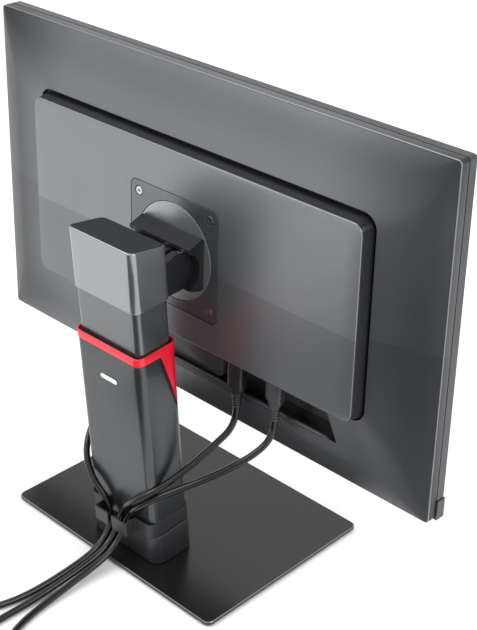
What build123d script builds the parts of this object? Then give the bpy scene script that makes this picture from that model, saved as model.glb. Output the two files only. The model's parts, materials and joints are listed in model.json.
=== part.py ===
from build123d import *
import math
import os

# A flat-panel monitor on a height-adjustable stand, with its three cords.
# Millimetres, +Z up, screen facing -Y. The origin is on the desk, in the middle of the footprint.

# driving dimensions: display
PANEL_W, PANEL_H = 613.0, 366.5
VESA_Z = 330.0
PANEL_Z = VESA_Z - 3.5
FRONT_Y, SEAM_Y, RIM_Y = -37.5, -27.5, -15.8
SHOULDER_Y, HUMP_Y, MOUNT_Y = -4.5, 4.9, 19.0
SHOULDER = 32.0
SKIN = 2.5
HUMP_X, HUMP_Z = (-234.0, 212.8), (235.4, 436.7)
HUMP_GROW = 3.4
ACTIVE_X, ACTIVE_Z = 298.8, (166.1, 502.2)
RECESS_X, RECESS_Z, RECESS_Y = (-204.0, 120.0), (190.0, 233.0), -14.0
VESA_PITCH, PLATE_SIZE = 100.0, 122.8
PLATE_BACK = 15.0
DISC_R = 52.0
KEY_X, KEY_Z, KEY_R, KEY_TRAVEL = (224.0, 240.0, 256.0, 272.0), 152.5, 3.2, 0.8
POWER_KEY_X = 290.0

# driving dimensions: stand
BASE_W, BASE_D, BASE_T, FOOT_H = 300.0, 229.0, 4.0, 2.0
BASE_TOP = FOOT_H + BASE_T
LEAN = 4.8
AXIS_Y = 62.0
SWIVEL_Y = 64.0
TILT_Y, TILT_Z = 46.0, 327.0
CAP_W, CAP_D, CAP_LOW, CAP_HIGH = 84.0, 41.0, 311.5, 382.0
INNER_W, INNER_D, INNER_LOW, INNER_HIGH = 80.0, 37.0, 96.0, 345.0
BORE_W, BORE_D = 82.4, 38.4
RING_LOW, RING_HIGH = 250.0, 263.0
COLUMN_LOW, FOOT_SIZE, NECK_SIZE = 16.0, (92.0, 42.0), (86.0, 46.0)
COLLAR_TOP, CLIP_TOP = 43.5, 60.0

# driving dimensions: cords
CORD_D = 7.0
COIL_R, COIL_WIDE, COIL_HIGH = 38.0, 14.0, 21.0
TAIL, LEAD_IN = 45.0, 30.0

column = Plane(
    origin=(0, AXIS_Y, 0),
    x_dir=(1, 0, 0),
    z_dir=(0, math.sin(math.radians(LEAN)), math.cos(math.radians(LEAN))),
)
side = Plane(origin=(0, 0, 0), x_dir=(0, 1, 0), z_dir=(1, 0, 0))


def upright(y):
    """A plane facing the user at depth y, on which sketches use X and Z as they stand."""
    return Plane(origin=(0, y, 0), x_dir=(1, 0, 0), z_dir=(0, -1, 0))


def block(x, y, z, mode=Mode.ADD):
    """A box between a low and a high limit on each axis."""
    with Locations(((x[0] + x[1]) / 2, (y[0] + y[1]) / 2, (z[0] + z[1]) / 2)):
        Box(x[1] - x[0], y[1] - y[0], z[1] - z[0], mode=mode)


def slab(x, y, z, radius, mode=Mode.ADD):
    """A plate standing upright, with rounded corners in the X-Z plane."""
    with BuildSketch(upright(y[1])) as outline:
        with Locations(((x[0] + x[1]) / 2, (z[0] + z[1]) / 2)):
            RectangleRounded(x[1] - x[0], z[1] - z[0], radius)
    extrude(outline.sketch, amount=y[1] - y[0], mode=mode)


def rod(plane, radius, length, at=(0, 0), mode=Mode.ADD):
    """A cylinder standing on a plane."""
    with BuildSketch(plane) as outline:
        with Locations(at):
            Circle(radius)
    extrude(outline.sketch, amount=length, mode=mode)


def bar(width, depth, radius, low, high, shift=0.0, mode=Mode.ADD):
    """A length of the column's section, along its leaning axis."""
    with BuildSketch(column.offset(low)) as outline:
        with Locations((0, shift)):
            RectangleRounded(width, depth, radius)
    extrude(outline.sketch, amount=high - low, mode=mode)


def frustum(x_a, z_a, y_a, x_b, z_b, y_b, radius, mode=Mode.ADD):
    """A straight-sided loft between two upright rectangles."""
    ends = []
    for x, z, y in ((x_a, z_a, y_a), (x_b, z_b, y_b)):
        with BuildSketch(upright(y)) as outline:
            with Locations(((x[0] + x[1]) / 2, (z[0] + z[1]) / 2)):
                RectangleRounded(x[1] - x[0], z[1] - z[0], radius)
        ends.append(outline.sketch.face())
    loft(sections=ends, ruled=True, mode=mode)


def finish(builder, name):
    """Labels a finished piece and writes it."""
    builder.part.label = name
    export_step(builder.part, f"parts/{name}.step")


os.makedirs("parts", exist_ok=True)


# ---------------------------------------------------------------- display shell


def grown(limits, by):
    """A pair of limits moved apart."""
    return limits[0] - by, limits[1] + by


panel_x = (-PANEL_W / 2, PANEL_W / 2)
panel_z = (PANEL_Z - PANEL_H / 2, PANEL_Z + PANEL_H / 2)


def cover_body(inset, mode):
    """The rear cover's crowned form, or its hollow when inset is the wall thickness."""
    rim_x, rim_z = grown(panel_x, -inset), grown(panel_z, -inset)
    flat_x, flat_z = grown(panel_x, -SHOULDER - inset), grown(panel_z, -SHOULDER - inset)
    base_x, base_z = grown(HUMP_X, HUMP_GROW - inset), grown(HUMP_Z, HUMP_GROW - inset)
    face_x, face_z = grown(HUMP_X, -inset), grown(HUMP_Z, -inset)
    rim_y, flat_y = RIM_Y - inset, SHOULDER_Y - inset
    slab(rim_x, (SEAM_Y, rim_y), rim_z, 4, mode)
    frustum(rim_x, rim_z, rim_y, flat_x, flat_z, flat_y, 4, mode)
    frustum(flat_x, flat_z, flat_y, base_x, base_z, HUMP_Y - inset, 4, mode)
    frustum(base_x, base_z, HUMP_Y - inset, face_x, face_z, MOUNT_Y - inset, 4, mode)


PLUG_A, PLUG_B, PLUG_C = (-84.0, 11.0, 190.3), (-135.5, 11.0, 197.6), (85.0, 7.0, 190.0)
SOCKETS = ((PLUG_A, 22.0, 13.0), (PLUG_B, 22.0, 13.0), (PLUG_C, 29.0, 22.0))
VENT_PITCH, VENT_COUNT, VENT_PEG = 30.4, 14, 4.0

with BuildPart() as rear_cover:
    cover_body(0, Mode.ADD)
    cover_body(SKIN, Mode.SUBTRACT)
    # the tub of the connector recess, then its hollow
    tub_y = RECESS_Y - SKIN
    block(grown(RECESS_X, SKIN), (tub_y, -2.8), (RECESS_Z[0] - SKIN, 240))
    block(RECESS_X, (RECESS_Y, MOUNT_Y + 5), RECESS_Z, Mode.SUBTRACT)
    for (x, y, _), wide, deep in SOCKETS:
        block(
            (x - wide / 2, x + wide / 2),
            (y - deep / 2, y + deep / 2),
            (RECESS_Z[1] - 3, RECESS_Z[1] + 12),
            Mode.SUBTRACT,
        )
    # opening for the stand's head plate
    slab(
        (-PLATE_SIZE / 2 - 0.8, PLATE_SIZE / 2 + 0.8),
        (MOUNT_Y - 2 * SKIN, MOUNT_Y + 1),
        (VESA_Z - PLATE_SIZE / 2 - 0.8, VESA_Z + PLATE_SIZE / 2 + 0.8),
        9,
        Mode.SUBTRACT,
    )
    # the air slot along the top of the raised middle, with pegs left between its lengths
    for n in range(VENT_COUNT):
        x = HUMP_X[0] + 12 + n * VENT_PITCH
        block((x, x + VENT_PITCH - VENT_PEG), (6.5, 11), (432, 445), Mode.SUBTRACT)
finish(rear_cover, "rear_cover")

with BuildPart() as vent_mesh:
    block((HUMP_X[0] + 10, HUMP_X[1] - 10), (5, 12.5), (431.4, 432))
finish(vent_mesh, "vent_mesh")

with BuildPart() as front_bezel:
    slab(panel_x, (FRONT_Y, SEAM_Y), panel_z, 4)
    block((-ACTIVE_X, ACTIVE_X), (FRONT_Y - 1, SEAM_Y + 1), ACTIVE_Z, Mode.SUBTRACT)
    block(
        grown((-ACTIVE_X, ACTIVE_X), 1.7),
        (FRONT_Y + 1, SEAM_Y + 1),
        grown(ACTIVE_Z, 2),
        Mode.SUBTRACT,
    )
    # pocket for the key board
    block((212, 302), (FRONT_Y + 2, SEAM_Y + 1), (145.6, 161.4), Mode.SUBTRACT)
    for x in (*KEY_X, POWER_KEY_X):
        rod(upright(SEAM_Y), KEY_R + 0.25, 12, (x, KEY_Z), Mode.SUBTRACT)
finish(front_bezel, "front_bezel")

CHIN_SKIN = 1.2
chin_x, chin_z = grown(panel_x, CHIN_SKIN), (panel_z[0] - CHIN_SKIN, panel_z[0] + 19.5)
with BuildPart() as chin_trim:
    block(chin_x, (FRONT_Y - CHIN_SKIN, SEAM_Y), chin_z)
    slab(panel_x, (FRONT_Y, SEAM_Y + 1), (panel_z[0], panel_z[0] + 60), 4, Mode.SUBTRACT)
    for x in (*KEY_X, POWER_KEY_X):
        rod(upright(SEAM_Y), KEY_R + 0.25, 20, (x, KEY_Z), Mode.SUBTRACT)
finish(chin_trim, "chin_trim")

# ---------------------------------------------------------------- picture panel, front to back

LAYERS = (
    ("lcd_glass", 299.8, (165.0, 503.2), -36.4, -34.4),
    ("diffuser_sheets", 299.0, (168.4, 503.0), -34.2, -33.4),
    ("light_guide", 299.0, (168.4, 503.0), -33.2, -30.2),
    ("reflector_sheet", 299.0, (168.4, 503.0), -30.0, -29.7),
)
for name, half, z, near, far in LAYERS:
    with BuildPart() as layer:
        block((-half, half), (near, far), z)
    finish(layer, name)

with BuildPart() as led_strip:
    block((-290, 290), (-33.2, -32.4), (164.6, 167.8))
    with Locations(*[(-285 + 19 * n, -31.8, 166.2) for n in range(31)]):
        Box(5, 1.2, 3)
finish(led_strip, "led_strip")

with BuildPart() as panel_tray:
    block((-299.5, 299.5), (-29.5, -28.5), (164.4, 503.4))
    with Locations(*[(x, -27.5, z) for x in (-200, 0, 200) for z in (230, 420)]):
        Box(120, 2, 8)
finish(panel_tray, "panel_tray")

# ---------------------------------------------------------------- mount and electronics

vesa_points = [
    (x, VESA_Z + z) for x in (-VESA_PITCH / 2, VESA_PITCH / 2) for z in (-VESA_PITCH / 2, VESA_PITCH / 2)
]
SCREW_R, HEAD_R, HEAD_H = 2.0, 4.4, 1.6

with BuildPart() as mount_bracket:
    slab((-66, 66), (PLATE_BACK - 2, PLATE_BACK), (VESA_Z - 66, VESA_Z + 66), 6)
    rod(upright(PLATE_BACK), 22, 4, (0, VESA_Z), Mode.SUBTRACT)
    for x in (-66, 64):
        block((x, x + 2), (-26.4, PLATE_BACK - 1), (VESA_Z - 55, VESA_Z + 55))
        foot = (x - 12, x + 2) if x < 0 else (x, x + 14)
        block(foot, (-26.4, -24.4), (VESA_Z - 55, VESA_Z + 55))
    for at in vesa_points:
        rod(upright(PLATE_BACK - 2), 5, 9, at)
        rod(upright(PLATE_BACK), SCREW_R, 11, at, Mode.SUBTRACT)
finish(mount_bracket, "mount_bracket")

SHAFT_R = 9.0
with BuildPart() as vesa_plate:
    slab(
        (-PLATE_SIZE / 2, PLATE_SIZE / 2),
        (PLATE_BACK, MOUNT_Y),
        (VESA_Z - PLATE_SIZE / 2, VESA_Z + PLATE_SIZE / 2),
        8,
    )
    rod(upright(MOUNT_Y), DISC_R + 0.5, 2.4, (0, VESA_Z), Mode.SUBTRACT)
    rod(upright(MOUNT_Y), SHAFT_R + 0.05, 5, (0, VESA_Z), Mode.SUBTRACT)
    for at in vesa_points:
        rod(upright(MOUNT_Y), HEAD_R + 1.0, 1.8, at, Mode.SUBTRACT)
        rod(upright(MOUNT_Y), SCREW_R, 5, at, Mode.SUBTRACT)
finish(vesa_plate, "vesa_plate")

with BuildPart() as vesa_screws:
    for at in vesa_points:
        rod(upright(MOUNT_Y - 1.8 + HEAD_H), HEAD_R, HEAD_H, at)
        rod(upright(MOUNT_Y - 1.8), SCREW_R, 10, at)
        rod(upright(MOUNT_Y - 1.8 + HEAD_H), 1.1, 1.0, at, Mode.SUBTRACT)
finish(vesa_screws, "vesa_screws")

BOARD_Y = -4.0
with BuildPart() as main_board:
    block((-205, -72), (BOARD_Y - 1.6, BOARD_Y), (246, 352))
    block((-165, -135), (BOARD_Y, BOARD_Y + 2.2), (290, 320))
    block((-118, -100), (BOARD_Y, BOARD_Y + 1.5), (300, 316))
    block((-190, -176), (BOARD_Y, BOARD_Y + 4), (325, 345))
finish(main_board, "main_board")

with BuildPart() as board_shield:
    block((-207, -70), (-1.5, 8), (262, 354))
    block((-206, -71), (-2.5, 7), (263, 353), Mode.SUBTRACT)
    for x in range(-195, -75, 14):
        block((x, x + 6), (6, 9), (275, 285), Mode.SUBTRACT)
finish(board_shield, "board_shield")

with BuildPart() as power_board:
    block((72, 200), (BOARD_Y - 1.6, BOARD_Y), (268, 400))
    block((90, 120), (BOARD_Y, 14), (300, 335))
    block((160, 185), (BOARD_Y, 8), (345, 385))
    for x, z in ((140, 310), (140, 332), (178, 300)):
        rod(upright(12), 7, 12 - BOARD_Y, (x, z))
finish(power_board, "power_board")

with BuildPart() as data_sockets:
    for x, y, _ in (PLUG_A, PLUG_B):
        block((x - 10.5, x + 10.5), (y - 6, y + 5.2), (245.5, 260))
        block((x - 8, x + 8), (y - 2.5, y + 2.5), (240, 258), Mode.SUBTRACT)
finish(data_sockets, "data_sockets")

with BuildPart() as power_inlet:
    x, y, _ = PLUG_C
    block((x - 14.2, x + 14.2), (y - 10.7, y + 9), (245.5, 262))
    block((x - 12, x + 12), (y - 8, y + 8), (240, 259), Mode.SUBTRACT)
    with Locations(*[(x + dx, y + dy, 252.5) for dx, dy in ((-7, -2), (0, 2), (7, -2))]):
        Box(2, 4, 13)
finish(power_inlet, "power_inlet")

with BuildPart() as speakers:
    for x in ((-262, -214), (150, 198)):
        block(x, (-24, -9.5), (182, 222))
        rod(upright(-24), 14, 1.5, ((x[0] + x[1]) / 2, 202))
finish(speakers, "speakers")

with BuildPart() as key_board:
    block((216, 299), (-32.4, -31.2), (147, 160))
    for x in (*KEY_X, POWER_KEY_X):
        rod(upright(-32.4), 1.6, 0.9, (x, KEY_Z))
finish(key_board, "key_board")

for n, x in enumerate((*KEY_X, POWER_KEY_X)):
    with BuildPart() as key:
        rod(upright(-34.4), KEY_R, 5.6, (x, KEY_Z))
        rod(upright(-34.4), KEY_R + 1.2, 0.8, (x, KEY_Z))
    finish(key, f"menu_key_{n + 1}" if x != POWER_KEY_X else "power_key")

# ---------------------------------------------------------------- head: turns on the arm, carries the pivot

with BuildPart() as pivot_disc:
    rod(upright(MOUNT_Y - 0.1), DISC_R, 2.1, (0, VESA_Z))
    rod(upright(MOUNT_Y - 0.1), SHAFT_R, 13.5, (0, VESA_Z))
finish(pivot_disc, "pivot_disc")

with BuildPart() as pivot_nut:
    rod(upright(PLATE_BACK - 0.2), 16, 4.5, (0, VESA_Z))
    rod(upright(PLATE_BACK), SHAFT_R, 8, (0, VESA_Z), Mode.SUBTRACT)
finish(pivot_nut, "pivot_nut")

HEAD_W, BARREL_R, SADDLE_R = 85.0, 21.0, 22.0
LUG_X, LUG_T = 21.0, 4.0
HEAD_OUTLINE = (
    (MOUNT_Y - 0.1, 302.5),
    (MOUNT_Y - 0.1, 357.0),
    (22.0, 358.0),
    (39.0, 352.0),
    (39.0, 307.0),
    (25.0, 302.5),
)
with BuildPart() as tilt_block:
    with BuildSketch(side.offset(-HEAD_W / 2)):
        Polygon(*HEAD_OUTLINE, align=None)
    extrude(amount=HEAD_W)
    rod(side.offset(-60), SADDLE_R, 120, (TILT_Y, TILT_Z), Mode.SUBTRACT)
    for x in (-LUG_X - LUG_T, LUG_X):
        block((x, x + LUG_T), (20.5, 60), (TILT_Z - 11, TILT_Z + 11), Mode.SUBTRACT)
finish(tilt_block, "tilt_block")

TILT_SHAFT_R = 6.0
with BuildPart() as tilt_lugs:
    for x in (-LUG_X - LUG_T, LUG_X):
        block((x, x + LUG_T), (20.5, TILT_Y), (TILT_Z - 11, TILT_Z + 11))
        rod(side.offset(x), 11, LUG_T, (TILT_Y, TILT_Z))
        rod(side.offset(x), TILT_SHAFT_R + 0.05, LUG_T, (TILT_Y, TILT_Z), Mode.SUBTRACT)
finish(tilt_lugs, "tilt_lugs")

# ---------------------------------------------------------------- carriage: slides in the column

ARM_W, ARM_Z = 68.0, (304.0, 344.0)
with BuildPart() as neck_arm:
    rod(side.offset(-ARM_W / 2), BARREL_R, ARM_W, (TILT_Y, TILT_Z))
    block((-ARM_W / 2, ARM_W / 2), (TILT_Y, 80), (TILT_Z - BARREL_R, ARM_Z[1]))
    rod(side.offset(-ARM_W / 2), TILT_SHAFT_R, ARM_W, (TILT_Y, TILT_Z), Mode.SUBTRACT)
    for x in (-LUG_X - LUG_T - 0.4, LUG_X - 0.4):
        block((x, x + LUG_T + 0.8), (20, 62), (300, 350), Mode.SUBTRACT)
finish(neck_arm, "neck_arm")

with BuildPart() as tilt_shaft:
    rod(side.offset(-ARM_W / 2 + 1), TILT_SHAFT_R, ARM_W - 2, (TILT_Y, TILT_Z))
finish(tilt_shaft, "tilt_shaft")

arm_hole = ((-ARM_W / 2, ARM_W / 2), (60, 80), (TILT_Z - BARREL_R, ARM_Z[1]))
with BuildPart() as head_cap:
    bar(CAP_W, CAP_D, 8, CAP_LOW, CAP_HIGH)
    roof = Plane(origin=(0, 94, 372.4), x_dir=(1, 0, 0), z_dir=(0, -0.127, 1))
    split(bisect_by=roof, keep=Keep.BOTTOM)
    fillet(head_cap.faces().sort_by(Axis.Z)[-1].edges(), 1.5)
    bar(INNER_W + 0.2, INNER_D + 0.2, 6.1, CAP_LOW, INNER_HIGH + 0.2, mode=Mode.SUBTRACT)
    bar(INNER_W - 4, INNER_D - 4, 5, INNER_HIGH, 363, mode=Mode.SUBTRACT)
    block(*arm_hole, Mode.SUBTRACT)
finish(head_cap, "head_cap")

with BuildPart() as inner_column:
    bar(INNER_W, INNER_D, 6, INNER_LOW, INNER_HIGH)
    bar(INNER_W - 5, INNER_D - 5, 4, INNER_LOW, INNER_HIGH, mode=Mode.SUBTRACT)
    block(*arm_hole, Mode.SUBTRACT)
finish(inner_column, "inner_column")

with BuildPart() as guide_strips:
    for x in (-INNER_W / 2 - 0.9, INNER_W / 2):
        with BuildSketch(column.offset(INNER_LOW + 4)):
            with Locations((x + 0.45, -6)):
                Rectangle(0.9, 6)
        extrude(amount=210)
finish(guide_strips, "guide_strips")

RAIL_W, RAIL_D = 46.0, 10.0
with BuildPart() as slide_block:
    bar(INNER_W - 5.4, 20, 3, 104, 150, shift=-5)
    bar(RAIL_W + 0.8, RAIL_D + 2.5, 0.5, 104, 150, shift=-5.15, mode=Mode.SUBTRACT)
finish(slide_block, "slide_block")

ROLL_R, PIN_R = 7.0, 3.0
with BuildPart() as spring_roll:
    roll_base = Plane(
        origin=column.from_local_coords((-15, 8.5, 285)), x_dir=(0, 1, 0), z_dir=(1, 0, 0)
    )
    rod(roll_base, ROLL_R, 30)
    rod(roll_base, PIN_R, 30, mode=Mode.SUBTRACT)
finish(spring_roll, "spring_roll")

with BuildPart() as roll_pin:
    pin_base = Plane(
        origin=column.from_local_coords((-37, 8.5, 285)), x_dir=(0, 1, 0), z_dir=(1, 0, 0)
    )
    rod(pin_base, PIN_R, 74)
finish(roll_pin, "roll_pin")

# ---------------------------------------------------------------- column: swivels on the base


def column_form():
    """The tapered outer column with the straight bore for the inner one."""
    ends = []
    for level, width, depth in ((COLUMN_LOW, *FOOT_SIZE), (RING_LOW, *NECK_SIZE)):
        with BuildSketch(column.offset(level)) as outline:
            RectangleRounded(width, depth, 9)
        ends.append(outline.sketch.face())
    loft(sections=ends, ruled=True)
    bar(BORE_W, BORE_D, 7, COLUMN_LOW + 4, RING_LOW, mode=Mode.SUBTRACT)


def trim_wedge(mode):
    """The region at the front top corner that the coloured trim takes from the column."""
    turned = Plane(
        origin=column.from_local_coords((-70, 0, 0)), x_dir=column.y_dir, z_dir=(1, 0, 0)
    )
    with BuildSketch(turned) as outline:
        Polygon((-34, 190), (-22.6, 194), (-4, RING_LOW), (-34, RING_LOW), align=None)
    extrude(outline.sketch, amount=140, mode=mode)


with BuildPart() as lower_column:
    column_form()
    trim_wedge(Mode.SUBTRACT)
finish(lower_column, "lower_column")

with BuildPart() as red_trim:
    column_form()
    trim_wedge(Mode.INTERSECT)
    bar(87.0, 47.0, 9, RING_LOW, RING_HIGH)
    bar(BORE_W, BORE_D, 7, RING_LOW, RING_HIGH, mode=Mode.SUBTRACT)
finish(red_trim, "red_trim")

BADGE_W, BADGE_H, BADGE_LEVEL = 24.0, 5.0, 222.0
with BuildPart() as badge:
    share = (BADGE_LEVEL - COLUMN_LOW) / (RING_LOW - COLUMN_LOW)
    badge_depth = (FOOT_SIZE[1] * (1 - share) + NECK_SIZE[1] * share) / 2
    badge_plane = Plane(
        origin=column.from_local_coords((0, badge_depth + 0.6, BADGE_LEVEL)),
        x_dir=(1, 0, 0),
        z_dir=-column.y_dir,
    )
    with BuildSketch(badge_plane):
        SlotOverall(BADGE_W, BADGE_H)
    extrude(amount=0.55)
finish(badge, "badge")

with BuildPart() as foot_collar:
    bar(97.0, 52.0, 12, -6, COLLAR_TOP, shift=1.5)
    bar(FOOT_SIZE[0] + 0.2, FOOT_SIZE[1] + 0.8, 8.5, COLUMN_LOW, COLLAR_TOP, mode=Mode.SUBTRACT)
    split(bisect_by=Plane.XY.offset(BASE_TOP + 0.6), keep=Keep.TOP)
    rod(Plane.XY, 14, 30, (0, SWIVEL_Y), Mode.SUBTRACT)
finish(foot_collar, "foot_collar")

LOOP_W, LOOP_BACK, BAND, BAND_BACK, BAND_FRONT = 48.0, 44.0, 2.2, 30.0, -27.0
band_mid, band_depth = (BAND_BACK + BAND_FRONT) / 2, BAND_BACK - BAND_FRONT
with BuildPart() as cable_clip:
    bar(98.0, band_depth, 11, COLLAR_TOP, CLIP_TOP, shift=band_mid)
    bar(LOOP_W, LOOP_BACK, 2.5, COLLAR_TOP, CLIP_TOP, shift=LOOP_BACK / 2)
    bar(98.0 - 2 * BAND, band_depth - 2 * BAND, 9, COLLAR_TOP, CLIP_TOP, band_mid, Mode.SUBTRACT)
    inner_loop = LOOP_BACK - BAND
    bar(LOOP_W - 2 * BAND, inner_loop, 1, COLLAR_TOP, CLIP_TOP, inner_loop / 2, Mode.SUBTRACT)
    # the slot that cords are pressed through
    bar(5.5, 12, 0.5, COLLAR_TOP - 5, CLIP_TOP + 5, LOOP_BACK, Mode.SUBTRACT)
finish(cable_clip, "cable_clip")

with BuildPart() as swivel_spindle:
    rod(Plane.XY.offset(1.9), 13.95, 10.5, (0, SWIVEL_Y))
    rod(Plane.XY.offset(0.9), 22, 0.9, (0, SWIVEL_Y))
    rod(Plane.XY.offset(1.7), 12, 0.4, (0, SWIVEL_Y))
finish(swivel_spindle, "swivel_spindle")

with BuildPart() as lift_rail:
    bar(RAIL_W, RAIL_D, 0.4, COLUMN_LOW + 5, 240, shift=-6)
    bar(RAIL_W - 4, RAIL_D, 0.4, COLUMN_LOW + 5, 240, shift=-8, mode=Mode.SUBTRACT)
    bar(60, 24, 1, COLUMN_LOW + 4, COLUMN_LOW + 9, shift=-4)
finish(lift_rail, "lift_rail")

with BuildPart() as spring_strip:
    with BuildSketch(column.offset(COLUMN_LOW + 9)):
        with Locations((0, 0.4)):
            Rectangle(24, 0.5)
    extrude(amount=257)
finish(spring_strip, "spring_strip")

# ---------------------------------------------------------------- base

with BuildPart() as base_plate:
    with BuildSketch(Plane.XY.offset(FOOT_H)):
        RectangleRounded(BASE_W, BASE_D, 7)
    extrude(amount=BASE_T)
    chamfer(base_plate.faces().sort_by(Axis.Z)[-1].edges(), 0.6)
    rod(Plane.XY, 14, 10, (0, SWIVEL_Y), Mode.SUBTRACT)
finish(base_plate, "base_plate")

with BuildPart() as rubber_feet:
    with Locations(*[(x, y, FOOT_H / 2) for x in (-128, 128) for y in (-94, 94)]):
        Cylinder(9, FOOT_H)
    with Locations((0, -94, FOOT_H / 2)):
        Cylinder(9, FOOT_H)
finish(rubber_feet, "rubber_feet")

with BuildPart() as swivel_washer:
    rod(Plane.XY.offset(BASE_TOP), 24, 0.5, (0, SWIVEL_Y))
    rod(Plane.XY.offset(BASE_TOP - 1), 14.1, 3, (0, SWIVEL_Y), Mode.SUBTRACT)
finish(swivel_washer, "swivel_washer")

# ---------------------------------------------------------------- plugs on the display side


def plug_body(x, y, low, wide, deep):
    """A moulded plug that points up, with its narrowing shoulder, ribbed neck and metal shell."""
    neck, shoulder = low + 8.7, low + 15.7
    rod(Plane.XY.offset(low), CORD_D / 2 + 0.9, 8.8, (x, y))
    for level in (low + 2.2, low + 5.2):
        rod(Plane.XY.offset(level), CORD_D / 2 + 1.7, 1.6, (x, y))
    ends = []
    for level, w, d in ((neck, 11.0, 9.6), (shoulder, wide, deep)):
        with BuildSketch(Plane.XY.offset(level)) as outline:
            with Locations((x, y)):
                RectangleRounded(w, d, 1.8)
        ends.append(outline.sketch.face())
    loft(sections=ends, ruled=True)
    with BuildSketch(Plane.XY.offset(shoulder)) as outline:
        with Locations((x, y)):
            RectangleRounded(wide, deep, 1.8)
    extrude(outline.sketch, amount=RECESS_Z[1] + 10 - shoulder)


for name, spot, size in (("video_plug_a", PLUG_A, (19, 10.4)), ("video_plug_b", PLUG_B, (19, 10.4))):
    with BuildPart() as plug:
        plug_body(*spot, *size)
        block(
            (spot[0] - 7.6, spot[0] + 7.6),
            (spot[1] - 2.2, spot[1] + 2.2),
            (RECESS_Z[1] + 10, RECESS_Z[1] + 23),
        )
    finish(plug, name)

with BuildPart() as power_plug:
    plug_body(*PLUG_C, 25, 18)
finish(power_plug, "power_plug")

# ---------------------------------------------------------------- cords

CORDS = {
    "video_cord_a": (
        PLUG_A,
        (-84, 11, 174),
        (-82.5, 17, 157.5),
        (-77, 29, 146),
        (-70, 41, 134),
        (-63, 53, 121.5),
        (-57, 67, 112),
        (-53, 82.5, 106),
        (-45, 96.5, 98),
        (-32.5, 103, 87),
        (-18.5, 102, 74.5),
        (-7.5, 98.5, 61),
        (-2, 97.5, 44.5),
        (-0.5, 104, 29),
        (-0.2, 116.5, 18.5),
        (-1, 132, 13.5),
        (-1, 156, 10),
        (0, 188, 6),
        (0.5, 220, 3.6),
        (1.5, 251, 3.6),
        (0.8, 284, 3.6),
        (-0.5, 318, 3.6),
        (0, 353, 3.6),
        (0, 388, 3.6),
    ),
    "video_cord_b": (
        PLUG_B,
        (-135.5, 11, 182),
        (-134, 17.5, 167),
        (-127, 29, 155),
        (-116, 40.5, 143.5),
        (-101, 49.5, 130),
        (-83, 61, 115.5),
        (-65.5, 76.5, 103.5),
        (-49.5, 91, 92.5),
        (-35.5, 99, 80),
        (-23, 99, 67),
        (-14, 97.3, 52.5),
        (-10, 99.5, 37),
        (-9, 109, 24),
        (-9, 122.5, 15.5),
        (-9, 138, 11.5),
        (-9.5, 161, 8.5),
        (-11, 190, 5.5),
        (-13, 218, 3.6),
        (-18, 243, 3.6),
        (-26, 263, 3.6),
        (-31.5, 282, 3.6),
        (-32, 302, 3.6),
    ),
    "power_cord": (
        PLUG_C,
        (85, 7, 173),
        (83.5, 15, 157),
        (79.5, 30, 146.5),
        (74.5, 47, 138),
        (69.5, 63, 129),
        (64.5, 78.5, 117.5),
        (57.5, 91, 103.5),
        (47, 98.5, 90),
        (34.5, 101, 78),
        (22, 99.5, 66.5),
        (13.5, 97.5, 52),
        (9.5, 99.5, 36.5),
        (8.3, 109, 23.5),
        (8, 122.5, 15),
        (7.7, 138, 11),
        (8, 161, 8),
        (9.5, 190, 5),
        (12, 218, 3.6),
        (18, 243, 3.6),
        (26, 263, 3.6),
        (31.5, 282, 3.6),
        (32, 302, 3.6),
    ),
}


def bend_radii(points):
    """The largest arc that each corner's two runs allow."""
    radii = []
    for before, corner, after in zip(points, points[1:], points[2:]):
        into, out = Vector(*corner) - Vector(*before), Vector(*after) - Vector(*corner)
        half_turn = math.radians(into.get_angle(out)) / 2
        radii.append(0.45 * min(into.length, out.length) / math.tan(half_turn))
    return radii


for name, points in CORDS.items():
    radii = bend_radii(points)
    with BuildPart() as cord:
        with BuildLine() as route:
            FilletPolyline(*points, radius=radii)
        with BuildSketch(Plane(origin=route.line @ 0, z_dir=route.line % 0)):
            Circle(CORD_D / 2)
        sweep(path=route.line)
    finish(cord, name)
    length = sum(edge.length for edge in route.edges())
    expected = math.pi * CORD_D**2 / 4 * length
    print(name, "length", round(length), "radii", [round(r) for r in radii])
    print("  volume over section times length", round(cord.part.volume / expected, 3))

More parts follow.
